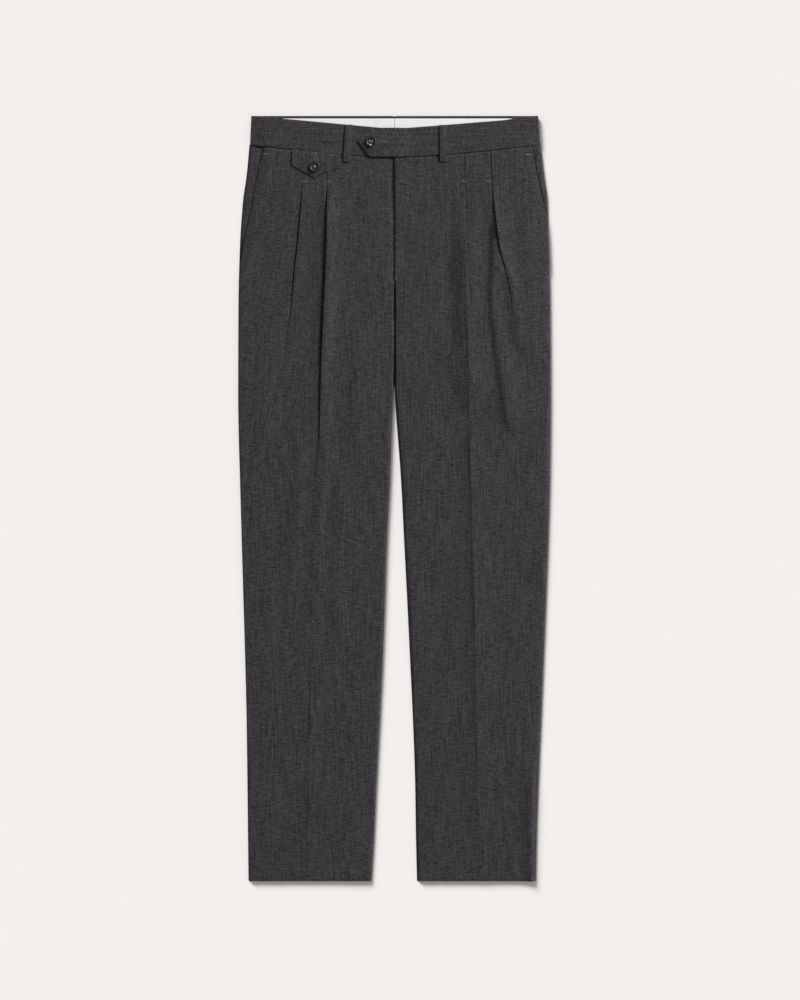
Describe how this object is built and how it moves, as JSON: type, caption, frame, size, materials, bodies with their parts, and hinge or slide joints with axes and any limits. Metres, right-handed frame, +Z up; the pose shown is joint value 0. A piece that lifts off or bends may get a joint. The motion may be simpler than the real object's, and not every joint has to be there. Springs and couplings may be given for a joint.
{
  "type": "pleated dress trousers",
  "caption": "Charcoal wool dress trousers laid flat: reverse pleats, slanted pockets, tab waistband, fob flap, belt loops and straight plain hems.",
  "frame": {"origin": "middle of the laid garment's outline, on the surface it rests on", "axes": "+Y from the hems to the waist, +X to the wearer's left, +Z up out of the front"},
  "size_m": [0.441, 1.077, 0.0108],
  "materials": {
    "wool": "charcoal melange worsted wool, matt, with fine lengthways and crossways slubs",
    "lining": "off-white plain-weave waistband lining",
    "horn": "dark brown mottled horn, satin polish"
  },
  "bodies": {
    "root": {"front_right": "wool", "front_left": "wool", "back_right": "wool", "back_left": "wool", "waistband_front_right": "wool", "waistband_front_left": "wool", "waistband_back_right": "wool", "waistband_back_left": "wool", "waistband_lining_right": "lining", "waistband_lining_left": "lining", "pocket_facing_right": "wool", "pocket_facing_left": "wool", "fob_flap": "wool", "belt_loop_front_right": "wool", "belt_loop_front_left": "wool", "belt_loop_rear_right": "wool", "belt_loop_rear_centre": "wool", "belt_loop_rear_left": "wool", "waist_button": "horn", "fob_button": "horn"}
  },
  "joints": []
}
